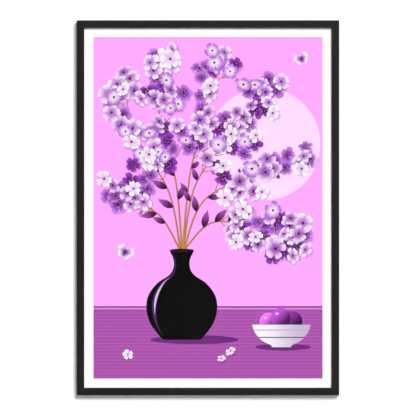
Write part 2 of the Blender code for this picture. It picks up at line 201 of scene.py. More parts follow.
WINGS = ((0.55, 1.0, 0.52, 1), (-0.55, 0.72, 0.46, 2))  # angle, length, width and tint, on a moth's right


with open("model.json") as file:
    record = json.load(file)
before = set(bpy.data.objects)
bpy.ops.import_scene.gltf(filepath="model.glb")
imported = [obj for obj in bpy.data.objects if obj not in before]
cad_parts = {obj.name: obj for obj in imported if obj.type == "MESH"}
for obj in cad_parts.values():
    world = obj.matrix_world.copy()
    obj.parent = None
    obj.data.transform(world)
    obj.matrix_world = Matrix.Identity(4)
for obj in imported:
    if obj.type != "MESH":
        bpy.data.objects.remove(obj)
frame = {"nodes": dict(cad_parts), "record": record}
cad_low, cad_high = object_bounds()
ops = bpy.ops.mesh


# Small tools for modelling


def rest():
    """Leaves edit mode and deselects everything."""
    if bpy.context.mode != "OBJECT":
        bpy.ops.object.mode_set(mode="OBJECT")
    bpy.ops.object.select_all(action="DESELECT")


def choose(piece):
    """Selects one piece alone."""
    rest()
    piece.select_set(True)
    bpy.context.view_layer.objects.active = piece


def edit(piece):
    choose(piece)
    bpy.ops.object.mode_set(mode="EDIT")
    ops.select_all(action="DESELECT")


def start(add, name, scale=(1, 1, 1), **settings):
    """Adds a named primitive, its place and size in its mesh, and opens it in edit mode."""
    rest()
    add(**settings)
    piece = bpy.context.object
    piece.name = piece.data.name = name
    piece.scale = scale
    bpy.ops.object.transform_apply(location=True, rotation=True, scale=True)
    edit(piece)
    return piece


def start_disc(name, sides, radius, thick, y=0.0):
    """A disc along y."""
    settings = {"vertices": sides, "radius": radius, "depth": thick}
    return start(ops.primitive_cylinder_add, name, location=(0, y, 0), rotation=(-QUARTER, 0, 0), **settings)


def pick_all():
    ops.select_all(action="SELECT")


def pick(piece, kind, test):
    """In edit mode, selects only the points, edges or faces that pass."""
    ops.select_all(action="DESELECT")
    ops.select_mode(type=kind)
    shape = bmesh.from_edit_mesh(piece.data)
    shape.normal_update()
    for item in {"VERT": shape.verts, "EDGE": shape.edges, "FACE": shape.faces}[kind]:
        if test(item):
            item.select_set(True)
    shape.select_flush_mode()
    bmesh.update_edit_mesh(piece.data)


def middle(item):
    """The middle of an edge or a face."""
    return sum((v.co for v in item.verts), Vector()) / len(item.verts)


def near(a, b, reach=TOUCH):
    return abs(a - b) < reach


def runs_along(edge, axis):
    return abs((edge.verts[1].co - edge.verts[0].co).normalized()[axis]) > FOLLOWING


def ring_at(y):
    """The test for edges that lie wholly at one depth."""
    return lambda edge: all(near(v.co.y, y) for v in edge.verts)


def sharper_than(degrees):
    """The test for edges between faces that turn by more than an angle."""
    return lambda edge: edge.calc_face_angle(0) > math.radians(degrees)


def extrude(y):
    ops.extrude_region_move(TRANSFORM_OT_translate={"value": (0, y, 0)})


def shift(x=0, y=0, z=0):
    bpy.ops.transform.translate(value=(x, y, z))


def bevel(width, steps, shape=0.5):
    ops.bevel(offset=width, offset_type="OFFSET", segments=steps, profile=shape, affect="EDGES")


def ease(piece, test, width, steps, shape=0.5):
    """Rounds off the edges that pass a test."""
    pick(piece, "EDGE", test)
    bevel(width, steps, shape)


def cut_across(spot, normal, **settings):
    """In edit mode, cuts the whole piece along a plane."""
    pick_all()
    ops.bisect(plane_co=spot, plane_no=normal, threshold=ON_CUT, **settings)


def close_up(piece):
    """Merges doubled points, turns all faces outwards and leaves edit mode."""
    edit(piece)
    pick_all()
    ops.remove_doubles(threshold=DOUBLED)
    ops.normals_make_consistent(inside=False)
    rest()
    return piece


def smooth(piece, angle):
    choose(piece)
    bpy.ops.object.shade_smooth_by_angle(angle=math.radians(angle))
    rest()
    return piece


def combine(piece, other, operation):
    """Cuts one piece with another or joins them, and the other is used up."""
    choose(piece)
    modifier = piece.modifiers.new("combine", "BOOLEAN")
    modifier.operation = operation
    modifier.solver = "EXACT"
    modifier.object = other
    bpy.ops.object.modifier_apply(modifier=modifier.name)
    rest()
    bpy.data.objects.remove(other)


def new_object(name, data):
    made = bpy.data.objects.new(name, data)
    bpy.context.scene.collection.objects.link(made)
    return made


def placed(spot, turn=0):
    """The place of a piece turned about y, then moved to a spot."""
    return Matrix.Translation(spot) @ Matrix.Rotation(turn, 4, "Y")


def copy_to(master, name, place):
    """A copy with its own mesh, its place in its mesh."""
    mesh = master.data.copy()
    mesh.transform(place)
    mesh.name = name
    return new_object(name, mesh)


def dress(piece, finish, body, node):
    """Gives a piece its material and body, and hides the model's piece that it replaces. The finish's slot
    name is not used.
    """
    material, slot = finish
    piece.data.materials.clear()
    piece.data.materials.append(material)
    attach(piece, body)
    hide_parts(node)


def box_of(node):
    """The low and high corners of a piece of the model, its size and its middle."""
    low, high = map(Vector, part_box(node))
    return low, high, high - low, (low + high) / 2


# Small tools for materials


class Nodes:
    """The shader nodes of a finish, or of an effect that finishes share."""

    def __init__(self, tree):
        self.tree = tree

    def feed(self, sockets, values):
        """Gives sockets, by number or by name with _ for spaces, their plain values or links."""
        for key, value in values.items():
            socket = sockets[key.replace("_", " ") if isinstance(key, str) else key]
            if isinstance(value, bpy.types.NodeSocket):
                self.tree.links.new(value, socket)
            else:
                socket.default_value = value

    def add(self, kind, values=None, **settings):
        """Adds a node with its settings and inputs, and gives its outputs."""
        node = self.tree.nodes.new("ShaderNode" + kind)
        for key, value in settings.items():
            setattr(node, key, value)
        self.feed(node.inputs, values or {})
        return node.outputs

    def maths(self, operation, *values):
        return self.add("Math", dict(enumerate(values)), operation=operation)[0]

    def times(self, value, share):
        return self.maths("MULTIPLY", value, share)

    def plus(self, base, value, share):
        """A base with a share of a value added."""
        return self.maths("MULTIPLY_ADD", value, share, base)

    def step(self, value, low, high, out_low=0.0, out_high=1.0):
        """A smooth step of a value, from out_low at low to out_high at high."""
        values = {"Value": value, "From Min": low, "From Max": high, "To Min": out_low, "To Max": out_high}
        return self.add("MapRange", values, interpolation_type="SMOOTHSTEP")[0]

    def mix(self, share, first, second, blend="MIX"):
        """Two colours mixed: the node's inputs 6 and 7, and its output 2."""
        first, second = (c if isinstance(c, bpy.types.NodeSocket) else (*c, 1.0) for c in (first, second))
        return self.add("Mix", {0: share, 6: first, 7: second}, data_type="RGBA", blend_type=blend)[2]

    def stretched(self, vector, *scale):
        """A vector with its axes scaled, for patterns longer one way."""
        return self.add("Mapping", {"Vector": vector, "Scale": scale})[0]

    def noise(self, vector, scale, detail, roughness):
        values = {"Vector": vector, "Scale": scale, "Detail": detail, "Roughness": roughness}
        return self.add("TexNoise", values)[0]

    def place(self):
        return self.add("TexCoord")["Object"]

    def stored(self, name, output="Color"):
        """What the piece's mesh keeps under a name."""
        return self.add("Attribute", attribute_name=name)[output]

    def use(self, effect, **values):
        """An effect's outputs, with its inputs by name."""
        return self.add("Group", values, node_tree=bpy.data.node_groups[effect])


class Finish(Nodes):
    """A material and its shader nodes."""

    def __init__(self, name, **values):
        self.material = bpy.data.materials.new(name)
        self.material.use_nodes = True
        super().__init__(self.material.node_tree)
        self.cover(**values)

    def cover(self, **values):
        """Gives the Principled shader's own sockets their values and links."""
        self.feed(self.tree.nodes["Principled BSDF"].inputs, values)
        return self.material

    def coat(self, colour, sheen, height, depth):
        """Covers it: a colour, a roughness, and relief of a depth in millimetres."""
        relief = self.add("Bump", {"Height": height, "Distance": depth * MM})[0]
        return self.cover(Base_Color=colour, Roughness=sheen, Normal=relief)

    def open_where(self, share):
        """Lets rays go straight through where a share is 1."""
        shader = self.tree.nodes["Principled BSDF"].outputs[0]
        clear = self.add("BsdfTransparent")[0]
        both = self.add("MixShader", {0: share, 1: shader, 2: clear})[0]
        self.feed(self.tree.nodes["Material Output"].inputs, {"Surface": both})


def new_effect(name, inputs, outputs):
    """A node group's nodes, inputs and outputs. An input whose value is None is a vector."""
    tree = bpy.data.node_groups.new(name, "ShaderNodeTree")
    for label, value in inputs.items():
        kind = "NodeSocketVector" if value is None else "NodeSocketFloat"
        socket = tree.interface.new_socket(label, in_out="INPUT", socket_type=kind)
        if value is not None:
            socket.default_value = value
    for label in outputs:
        tree.interface.new_socket(label, in_out="OUTPUT", socket_type="NodeSocketFloat")
    return Nodes(tree), tree.nodes.new("NodeGroupInput").outputs, tree.nodes.new("NodeGroupOutput").inputs


def srgb(colour):
    """A colour picker's 0 to 255 as the linear colour that the shader takes."""
    shares = [c / 255 for c in colour]
    return tuple(c / 12.92 if c <= 0.04045 else ((c + 0.055) / 1.055) ** 2.4 for c in shares)


# Effects and finishes. A finish that a new piece gets comes with a slot's name, which nothing uses


def handling_effect():
    """Faint rubbed patches and fine hair scratches, as wiping by hand leaves."""
    inputs = {"Place": None, "Patch Size": 9.0, "Scratch Size": 260.0}
    nodes, given, made = new_effect("handling", inputs, ("Patches", "Scratches"))
    soft = nodes.noise(given["Place"], given["Patch Size"], 3.0, 0.5)
    bent = nodes.add("VectorMath", {0: given["Place"], 1: (1.0, 0.35, 0.22)}, operation="MULTIPLY")[0]
    cells = {"Vector": bent, "Scale": given["Scratch Size"]}
    lines = nodes.add("TexVoronoi", cells, feature="DISTANCE_TO_EDGE")["Distance"]
    broken = nodes.step(nodes.noise(given["Place"], 60.0, 2.0, 0.5), 0.52, 0.62)
    scratches = nodes.times(nodes.step(lines, 0.0, 0.035, 1.0, 0.0), broken)
    nodes.feed(made, {"Patches": nodes.step(soft, 0.38, 0.66), "Scratches": scratches})


def fibre_effect():
    """Pressed fibres: pale flecks in three directions, and the relief they leave."""
    inputs = {"Place": None, "Fineness": 400.0}
    nodes, given, made = new_effect("pressed_fibre", inputs, ("Flecks", "Relief"))
    runs = []
    for turn in (0.35, 1.25, 2.2):
        turned = nodes.add("VectorRotate", {"Vector": given["Place"], "Axis": (0, 1, 0), "Angle": turn})[0]
        runs.append(nodes.noise(nodes.stretched(turned, 1.0, 1.0, 0.16), given["Fineness"], 2.0, 0.6))
    most, total = (nodes.maths(sort, nodes.maths(sort, *runs[:2]), runs[2]) for sort in ("MAXIMUM", "ADD"))
    nodes.feed(made, {"Flecks": nodes.step(most, 0.50, 0.78), "Relief": nodes.times(total, 0.333)})


def grain_effect():
    """Straight grain under paint: long pores and slow waves along the rail."""
    nodes, given, made = new_effect("painted_grain", {"Along": None}, ("Pores", "Waves"))
    pores = nodes.noise(nodes.stretched(given["Along"], 14.0, 900.0, 900.0), 1.0, 3.0, 0.6)
    waves = nodes.noise(nodes.stretched(given["Along"], 5.0, 120.0, 120.0), 1.0, 3.0, 0.5)
    nodes.feed(made, {"Pores": nodes.step(pores, 0.56, 0.74), "Waves": waves})


def black_satin_paint():
    """Satin black paint over wood, its grain just telling, its arrises a little rubbed."""
    nodes = Finish("black_satin_paint", Specular_IOR_Level=0.14)
    pores, waves = nodes.use("painted_grain", Along=nodes.stored("rail_grain", "Vector"))
    patches, scratches = nodes.use("handling", Place=nodes.place())
    tone = nodes.mix(waves, (0.0030, 0.0030, 0.0032), (0.0098, 0.0097, 0.0094))
    tone = nodes.mix(nodes.times(pores, 0.7), tone, (0.0018, 0.0018, 0.0018))
    worn = nodes.times(nodes.stored("rail_edge", "Fac"), nodes.times(patches, 0.5))
    tone = nodes.mix(worn, tone, (0.030, 0.029, 0.028))
    sheen = nodes.plus(nodes.plus(nodes.plus(0.50, patches, 0.05), pores, 0.12), scratches, 0.05)
    peel = nodes.times(nodes.noise(nodes.place(), 900.0, 2.0, 0.5), 0.25)
    relief = nodes.plus(nodes.plus(peel, pores, -0.6), waves, 0.5)
    return nodes.coat(tone, sheen, relief, 0.10), "black_satin_wood"


def clear_acrylic():
    """Clear sheet, open to lamps and bounced light, so that what is behind is lit."""
    nodes = Finish("clear_acrylic", IOR=SHEET_IOR, Transmission_Weight=1.0)
    path = nodes.add("LightPath")
    nodes.open_where(nodes.maths("MAXIMUM", path["Is Shadow Ray"], path["Is Diffuse Ray"]))
    drawn = nodes.noise(nodes.place(), 7.0, 1.0, 0.4)
    return nodes.coat((0.995, 1.0, 1.0, 1.0), 0.02, drawn, 0.05)


def printed_paper():
    """Heavy matt paper. Each printed shape brings its two inks and its own place."""
    nodes = Finish("printed_paper", Specular_IOR_Level=0.04)
    along, across, veined = nodes.add("SeparateXYZ", {0: nodes.stored("shape_place", "Vector")})
    out = nodes.step(along, 0.10, 0.88)
    ink = nodes.mix(out, nodes.stored("ink"), nodes.stored("tip_ink"))
    fan = nodes.maths("DIVIDE", across, nodes.maths("ADD", nodes.maths("ABSOLUTE", along), 0.35))
    lines = nodes.maths("COSINE", nodes.times(fan, 9.0))
    lines = nodes.maths("POWER", nodes.plus(0.5, lines, 0.5), 4.0)
    veins = nodes.times(nodes.times(lines, nodes.plus(1.0, out, -0.6)), veined)
    darker = nodes.mix(1.0, ink, (0.62, 0.50, 0.66), blend="MULTIPLY")
    ink = nodes.mix(nodes.times(veins, 0.5), ink, darker)
    flecks, relief = nodes.use("pressed_fibre", Place=nodes.place(), Fineness=900.0)
    return nodes.coat(ink, nodes.plus(0.58, flecks, 0.06), relief, 0.02), "printed_paper"


def hardboard():
    """Brown hardboard, its smooth face out: pressed flecks and slow darker clouds."""
    nodes = Finish("hardboard", Specular_IOR_Level=0.4)
    place = nodes.place()
    flecks, relief = nodes.use("pressed_fibre", Place=place, Fineness=2400.0)
    patches = nodes.use("handling", Place=place, Patch_Size=5.0)[0]
    cloud = nodes.step(nodes.noise(place, 14.0, 5.0, 0.6), 0.3, 0.7)
    board = nodes.mix(cloud, (0.215, 0.122, 0.062), (0.262, 0.155, 0.082))
    board = nodes.mix(nodes.times(flecks, 0.4), board, (0.36, 0.235, 0.135))
    specks = nodes.step(nodes.noise(place, 750.0, 2.0, 0.6), 0.60, 0.72)
    board = nodes.mix(nodes.times(specks, 0.6), board, (0.105, 0.055, 0.028))
    sheen = nodes.plus(nodes.plus(0.50, patches, 0.10), flecks, 0.08)
    return nodes.coat(board, sheen, relief, 0.08)


def corrugated_card():
    """Kraft card with its flutes telling as faint ribs."""
    nodes = Finish("corrugated_card")
    place = nodes.place()
    flecks, relief = nodes.use("pressed_fibre", Place=place, Fineness=320.0)
    kraft = nodes.mix(flecks, (0.36, 0.235, 0.13), (0.50, 0.345, 0.205))
    flutes = nodes.add("TexWave", {"Vector": place, "Scale": 52.0, "Distortion": 0.3}, wave_profile="SIN")
    return nodes.coat(kraft, 0.85, nodes.plus(relief, flutes["Fac"], 0.8), 0.12)


def plated_steel(slot, dark, light, fineness):
    """Plated steel: a clouded bright coat, rubbed patches and hair scratches."""
    nodes = Finish(slot, Metallic=1.0)
    place = nodes.place()
    patches, scratches = nodes.use("handling", Place=place, Patch_Size=160.0, Scratch_Size=900.0)
    cloud = nodes.noise(place, fineness, 4.0, 0.6)
    tone = nodes.mix(nodes.step(cloud, 0.32, 0.68), dark, light)
    sheen = nodes.plus(nodes.plus(nodes.plus(0.26, patches, 0.12), scratches, 0.15), cloud, 0.08)
    return nodes.coat(tone, sheen, nodes.plus(cloud, scratches, -0.5), 0.01), slot


def black_rubber():
    """Soft black rubber with a fine matt skin and a little dust."""
    nodes = Finish("black_rubber", Specular_IOR_Level=0.35)
    place = nodes.place()
    patches = nodes.use("handling", Place=place, Patch_Size=220.0)[0]
    tone = nodes.mix(patches, (0.013, 0.013, 0.014), (0.024, 0.023, 0.022))
    skin = nodes.noise(place, 2600.0, 2.0, 0.5)
    return nodes.coat(tone, nodes.plus(0.62, patches, 0.14), skin, 0.03), "black_rubber"


def white_wall():
    """White paint, there from the front alone: clear from behind, and open to lamps."""
    nodes = Finish("white_wall", Roughness=0.9, Specular_IOR_Level=0.1)
    back = nodes.add("NewGeometry")["Backfacing"]
    nodes.open_where(nodes.maths("MAXIMUM", back, nodes.add("LightPath")["Is Shadow Ray"]))
    return nodes.cover(Base_Color=(0.93, 0.93, 0.93, 1.0))


def pale_floor():
    nodes = Finish("pale_floor", Roughness=0.8, Specular_IOR_Level=0.2)
    cloud = nodes.noise(nodes.place(), 1.5, 3.0, 0.5)
    return nodes.cover(Base_Color=nodes.mix(cloud, (0.42, 0.418, 0.414), (0.47, 0.467, 0.463)))


# Rails


def mark_grain(rail, offset):
    """Keeps each point's place along, into and across the rail, and if it is on an arris."""
    mesh = rail.data
    mesh.attributes.new("rail_grain", "FLOAT_VECTOR", "POINT")
    mesh.attributes.new("rail_edge", "FLOAT", "POINT")
    along, edge = mesh.attributes["rail_grain"], mesh.attributes["rail_edge"]
    depth = max(v.co.y for v in mesh.vertices)
    face = max(v.co.z for v in mesh.vertices)
    for number, point in enumerate(mesh.vertices):
        x, y, z = point.co
        along.data[number].vector = (x + offset, y + offset, z)
        on_front = min(z, face - z) < FRONT_ARRIS and y < FRONT_ARRIS and not (near(y, 0) and near(z, 0))
        on_back = near(z, 0, BACK_ARRIS) and depth - y < BACK_ARRIS
        edge.data[number].value = float(on_front or on_back)


def saw_mitre(rail, length, end):
    """Saws one end of a rail at 45 degrees and eases the sawn edges."""
    edit(rail)
    outwards = Vector((end, 0, 1)).normalized()
    cut_across((end * length / 2, 0, 0), outwards, use_fill=True, clear_outer=True)
    pick(rail, "FACE", lambda f: f.normal.dot(outwards) > FOLLOWING)
    ops.region_to_loop()
    bevel(MITRE_ARRIS, 1)


def cut_wedge_slots(rail, side, place):
    """Slots for the corner wedges, open at the back, in a rail that still lies flat."""
    low, high, _, _ = box_of(f"rail_{side}")
    for corner in SIDE_TURNS:
        wedge_low, wedge_high, _, _ = box_of(f"corner_wedge_{corner}")
        if any(wedge_high[i] < low[i] or wedge_low[i] > high[i] for i in range(3)):
            continue
        slot = copy_to(frame["nodes"][f"corner_wedge_{corner}"], "wedge_slot", place.inverted())
        edit(slot)
        pick_all()
        ops.remove_doubles(threshold=DOUBLED)
        bpy.ops.transform.shrink_fatten(value=WEDGE_ROOM, use_even_offset=True)
        pick(slot, "FACE", lambda f: f.normal.y > FACING)
        shift(y=MM)
        combine(rail, slot, "DIFFERENCE")


def make_rail(side):
    """A rail modelled flat along x, its outer edge at z = 0, then turned to its side of the frame.

    Its mitres meet its neighbours', where the model leaves them apart.
    """
    low, _, size, _ = box_of(f"rail_{side}")
    face, depth = min(size.x, size.z), size.y
    left, _, foot = cad_low
    right, _, top = cad_high
    length = right - left if size.x > size.z else top - foot
    stem = face - LIP_REACH
    bar, spot = (length, LIP_THICK, face), (0, LIP_THICK / 2, face / 2)
    rail = start(ops.primitive_cube_add, f"painted_rail_{side}", bar, size=1, location=spot)
    cut_across((0, 0, stem), (0, 0, 1))
    pick(rail, "FACE", lambda f: f.normal.y > FACING and middle(f).z < stem)
    extrude(depth - LIP_THICK)
    pick(rail, "EDGE", lambda e: runs_along(e, 0) and near(middle(e).y, 0) and not near(middle(e).z, stem))
    bevel(FRONT_ARRIS, 6)
    ease(rail, lambda e: runs_along(e, 0) and near(middle(e).y, depth), BACK_ARRIS, 3)
    close_up(rail)
    for end in (-1, 1):
        saw_mitre(rail, length, end)
    across, up = (left + right) / 2, (foot + top) / 2
    x, z = {"bottom": (across, foot), "top": (across, top), "left": (left, up), "right": (right, up)}[side]
    place = placed((x, low.y, z), SIDE_TURNS[side])
    cut_wedge_slots(rail, side, place)
    close_up(rail)
    mark_grain(rail, offset=length * (1 + list(SIDE_TURNS).index(side)))
    rail.data.transform(place)
    return smooth(rail, 20)


# Fittings


def make_button(thick, width, reach):
    """A turn button about its pivot at the origin, its tongue along +z, its middle plane at y = 0."""
    radius = width / 2
    ring = ops.primitive_circle_add
    face_on = (QUARTER, 0, 0)
    button = start(ring, "turn_button", vertices=BUTTON_SIDES, radius=radius, rotation=face_on)
    ring(vertices=BUTTON_SIDES, radius=BUTTON_HOLE, rotation=face_on)
    pick_all()
    ops.bridge_edge_loops()
    pick(button, "VERT", lambda v: v.co.length > BUTTON_HOLE * 1.1 and v.co.z > TOUCH / 2)
    shift(z=reach - 2 * radius)
    pick_all()
    shift(y=-thick / 2)
    extrude(thick)
    close_up(button)
    edit(button)
    ease(button, sharper_than(60), BUTTON_ARRIS, 3)
    return smooth(close_up(button), 30)


def cross_cutter(top):
    """The cross recess of a screw, tapering to its bottom, as a cutter along y."""
    arms = []
    for turn in (0, QUARTER):
        size = (RECESS_SPAN, 2 * RECESS_DEPTH, RECESS_SLOT)
        arm = start(ops.primitive_cube_add, "recess_arm", size, size=1, rotation=(0, turn, 0))
        pick(arm, "FACE", lambda f: f.normal.y < -FACING)
        bpy.ops.transform.resize(value=(RECESS_TAPER, 1, RECESS_TAPER))
        arms.append(arm)
    combine(*arms, "UNION")
    arms[0].data.transform(placed((0, top, 0)))
    return arms[0]


def make_pin(name, head_radius, head_thick, shank, length, point):
    """A screw or nail along y, its head's underside at y = 0 and its point at -y, still in edit mode."""
    pin = start_disc(name, PIN_SIDES, head_radius, head_thick, head_thick / 2)
    pick(pin, "FACE", lambda f: f.normal.y < -FACING)
    ops.inset(thickness=head_radius - shank)
    extrude(-(length - head_thick - point))
    extrude(-point)
    ops.merge(type="CENTER")
    return pin


def make_screw(head_radius, head_thick, length):
    """A pan-head wood screw with a cross recess."""
    screw = make_pin("screw", head_radius, head_thick, SCREW_SHANK, length, SCREW_POINT)
    ease(screw, ring_at(head_thick), SCREW_CROWN, 6, SCREW_CROWN_SHAPE)
    ease(screw, lambda e: near(middle(e).y, 0) and middle(e).length > SCREW_NECK, SCREW_HEAD_EASE, 2)
    close_up(screw)
    combine(screw, cross_cutter(head_thick), "DIFFERENCE")
    return smooth(close_up(screw), 32)


def make_nail(head_radius, length):
    """A flat-head nail along y, about its middle."""
    nail = make_pin("nail", head_radius, NAIL_HEAD, NAIL_SHANK, length, NAIL_POINT)
    ease(nail, ring_at(NAIL_HEAD), NAIL_CROWN, 4)
    pick_all()
    shift(y=length / 2 - NAIL_HEAD)
    return smooth(close_up(nail), 32)


def cut_teeth(hanger, low):
    """In edit mode, pushes notches up into the strip's lower edge, their tops at z = 0."""
    middles = [(i - (TOOTH_COUNT - 1) / 2) * TOOTH_PITCH for i in range(TOOTH_COUNT)]
    mouth = (TOOTH_PITCH - TOOTH_FLAT) / 2
    for x in middles:
        for cut in (x - mouth, x, x + mouth):
            cut_across((cut, 0, 0), (1, 0, 0))
    pick(hanger, "VERT", lambda v: near(v.co.z, low) and any(near(v.co.x, x) for x in middles))
    shift(z=TOOTH_DEPTH)


def make_hanger():
    """The saw-tooth hanger: flat feet, a raised bridge, and teeth along its lower edge."""
    low, _, size, centre = box_of("hanger")
    bridge_end = size.x / 2 - STRIP_FOOT - STRIP_RAMP
    strip, spot = (size.x, STRIP_THICK, size.z), (0, low.y + STRIP_THICK / 2, centre.z)
    hanger = start(ops.primitive_cube_add, "saw_tooth_hanger", strip, size=1, location=spot)
    for x in (-bridge_end - STRIP_RAMP, -bridge_end, bridge_end, bridge_end + STRIP_RAMP):
        cut_across((x, 0, 0), (1, 0, 0))
    pick(hanger, "VERT", lambda v: abs(v.co.x) < bridge_end + TOUCH / 2)
    shift(y=size.y - STRIP_THICK)
    ease(hanger, lambda e: runs_along(e, 1) and near(abs(middle(e).x), size.x / 2), STRIP_CORNER, 6)
    ease(hanger, lambda e: runs_along(e, 2) and abs(middle(e).x) < size.x / 2 - STRIP_CORNER, STRIP_BEND, 3)
    cut_teeth(hanger, low.z)
    ease(hanger, sharper_than(35), STRIP_ARRIS, 2)
    return smooth(close_up(hanger), 30)


def make_bumper(radius, thick):
    """A round rubber bumper, its crown towards the wall."""
    bumper = start_disc("bumper", BUMPER_SIDES, radius, thick)
    ease(bumper, ring_at(thick / 2), BUMPER_CROWN, 6)
    ease(bumper, ring_at(-thick / 2), BUMPER_FOOT, 2)
    return smooth(close_up(bumper), 32)


def place_buttons(nickel, zinc):
    """The ten turn buttons and their screws, each at its joint."""
    low, high, size, centre = box_of("turn_button_bottom_1")
    joints = frame["record"]["behaviour"]["joints"]
    pivots = {joint["name"].removeprefix("turn_"): joint["pos_m"] for joint in joints}
    button = make_button(size.y, size.x, high.z - pivots["bottom_1"][2])
    head_base = high.y + (low.y - box_of("rail_bottom")[1].y)
    _, tip, size, _ = box_of("button_screw_bottom_1")
    screw = make_screw(size.x / 2, tip.y - head_base, size.y)
    for number, (spot, (x, _, z)) in enumerate(pivots.items()):
        place = placed((x, centre.y, z), SIDE_TURNS[spot.split("_")[0]])
        dress(copy_to(button, f"steel_button_{spot}", place), nickel, f"button_{spot}", f"turn_button_{spot}")
        place = placed((x, head_base, z), SCREW_STOPS * number % QUARTER)
        dress(copy_to(screw, f"pan_screw_{spot}", place), zinc, "frame", f"button_screw_{spot}")
    bpy.data.objects.remove(button)
    bpy.data.objects.remove(screw)


def place_pair(make, name, node, finish):
    """A fitting made once, for its left place and its right one."""
    size = box_of(f"{node}_left")[2]
    master = make(size.x / 2, size.y)
    for side in ("left", "right"):
        made = copy_to(master, f"{name}_{side}", placed(box_of(f"{node}_{side}")[3]))
        dress(made, finish, "frame", f"{node}_{side}")
    bpy.data.objects.remove(master)


# Outlines of the printed design


def rectangle(half_width, low, high):
    return [complex(x * half_width, z) for x, z in ((-1, low), (1, low), (1, high), (-1, high))]


def ellipse(centre, half_width, half_height, steps):
    angles = [math.tau * i / steps for i in range(steps)]
    return [centre + complex(half_width * math.cos(a), half_height * math.sin(a)) for a in angles]


def flowing(points, steps):
    """A smooth open line through points."""
    ends = [points[0], *points, points[-1]]
    line = [
        0.5 * (2 * q + (r - p) * t + (2 * p - 5 * q + 4 * r - s) * t**2 + (3 * q - p - 3 * r + s) * t**3)
        for p, q, r, s in zip(ends, ends[1:], ends[2:], ends[3:])
        for t in (i / steps for i in range(steps))
    ]
    return [*line, points[-1]]


def heading(line, i):
    """The direction of a line at one of its points."""
    return cmath.phase(line[min(i + 1, len(line) - 1)] - line[max(i - 1, 0)])


def brush_stroke(line, start_width, end_width, offset=0.0):
    """A tapering stroke along a line, moved sideways by a share of its width."""
    left, right = [], []
    for i, spot in enumerate(line):
        width = start_width + (end_width - start_width) * i / (len(line) - 1)
        side = 1j * cmath.rect(width, heading(line, i))
        left.append(spot + side * (offset + 0.5))
        right.append(spot + side * (offset - 0.5))
    return left + right[::-1]


def petal_outline(notch, ripple, phase, steps):
    """A petal from its root at 0 to its tip at 1, widest past its middle."""
    outline = []
    for angle in (math.tau * i / steps for i in range(steps)):
        along = 0.5 - 0.5 * math.cos(angle)
        wave = 1 + ripple * math.sin(3 * angle + phase)
        dent = notch * math.exp(-(((angle - math.pi) / 0.35) ** 2))
        outline.append(complex(along * wave - dent, math.sin(angle) * (0.3 + 0.7 * along**0.8) * wave))
    return outline


def leaf_outline(steps=14):
    edge = [complex(i / steps, math.sin(math.pi * (i / steps) ** 0.8) ** 1.1) for i in range(steps + 1)]
    return edge + [p.conjugate() for p in edge[1:-1]][::-1]


def turned_sides(foot, half):
    """A turned pot's outline from its half outline: radius + height * 1j."""
    return [foot + p for p in half] + [foot - p.conjugate() for p in half[::-1]]


def crescent(foot, half, outer, width):
    """A bright stroke down a pot's left side, thin at its ends, as shares of the radius."""
    edge = [foot + complex(-p.real * outer, p.imag) for p in half]
    inner = []
    for i, p in enumerate(half):
        share = outer - width * math.sin(math.pi * i / (len(half) - 1))
        inner.append(foot + complex(-p.real * share, p.imag))
    return edge + inner[1:-1][::-1]


def turned_axes(angle, length, half_width):
    """The along and across axes of a shape that points at an angle."""
    return cmath.rect(length, angle), 1j * cmath.rect(half_width, angle)


def squashed(vector, angle, share):
    """A vector shortened in one direction, as a flower is that faces aside."""
    way = cmath.rect(1, angle)
    part = (vector * way.conjugate()).real * (share - 1)
    return vector + way * part


def cross(a, b):
    return (a.conjugate() * b).imag


def lightened(colour, share):
    return tuple(min(255, c * share) for c in colour)


# The printed design, drawn from the lowest shape up


class PrintedShape:
    """An outline in axes of its own, the inks at its root and at its tip, and how strong its veins are.

    A shape without ink is a soft shadow: it darkens what is printed under it.
    """

    def __init__(self, outline, ink=None, tip=None, origin=0, along=1, across=1j, veins=0.0):
        self.ink = ink
        self.tip = tip or ink
        self.axes = origin, along, across
        self.veins = veins
        self.points = [origin + p.real * along + p.imag * across for p in outline]
        if sum(cross(a, b) for a, b in zip(self.points, self.points[1:] + self.points[:1])) <= 0:
            self.points.reverse()

    def place_of(self, spot):
        """A spot of the sheet in the shape's own axes, and the veins."""
        origin, along, across = self.axes
        area = cross(along, across)
        return cross(spot - origin, across) / area, cross(along, spot - origin) / area, self.veins


class Design(list):
    """The printed shapes, the lowest first."""

    def put(self, *values, **axes):
        self.append(PrintedShape(*values, **axes))


def draw_flower(design, draw, spot, radius, tint):
    """A five-petalled flower facing a little aside, with its shadow, eye and stamens."""
    root, tip, veins, _ = tint
    lean, share, turn = draw.uniform(0, math.pi), draw.uniform(0.58, 1.0), draw.uniform(0, math.tau)
    angles = [turn + math.tau * i / 25 for i in range(25)]
    lobes = [cmath.rect(radius * (0.74 + 0.2 * abs(math.cos(2.5 * (a - turn)))), a) for a in angles]
    design.put(lobes, origin=spot + FLOWER_SHADE)
    order = list(range(5))
    draw.shuffle(order)
    for petal in order:
        angle = turn + math.tau * petal / 5 + draw.uniform(-0.12, 0.12)
        length, half_width = radius * draw.uniform(0.92, 1.06), radius * draw.uniform(0.46, 0.58)
        axes = [squashed(axis, lean, share) for axis in turned_axes(angle, length, half_width)]
        tone = draw.uniform(0.95, 1.06)
        outline = petal_outline(draw.uniform(0.04, 0.13), 0.03, draw.uniform(0, 6), 18)
        foot = spot + cmath.rect(0.06 * radius, angle)
        design.put(outline, lightened(root, tone), lightened(tip, tone), foot, *axes, veins)
    design.put(ellipse(spot, radius * 0.14, radius * 0.14, 9), DEEP_VIOLET)
    for stamen in range(6):
        angle = turn + math.tau * stamen / 6 + draw.uniform(-0.2, 0.2)
        dot = spot + squashed(cmath.rect(radius * 0.27, angle), lean, share)
        design.put(ellipse(dot, radius * 0.05, radius * 0.05, 5), POLLEN)


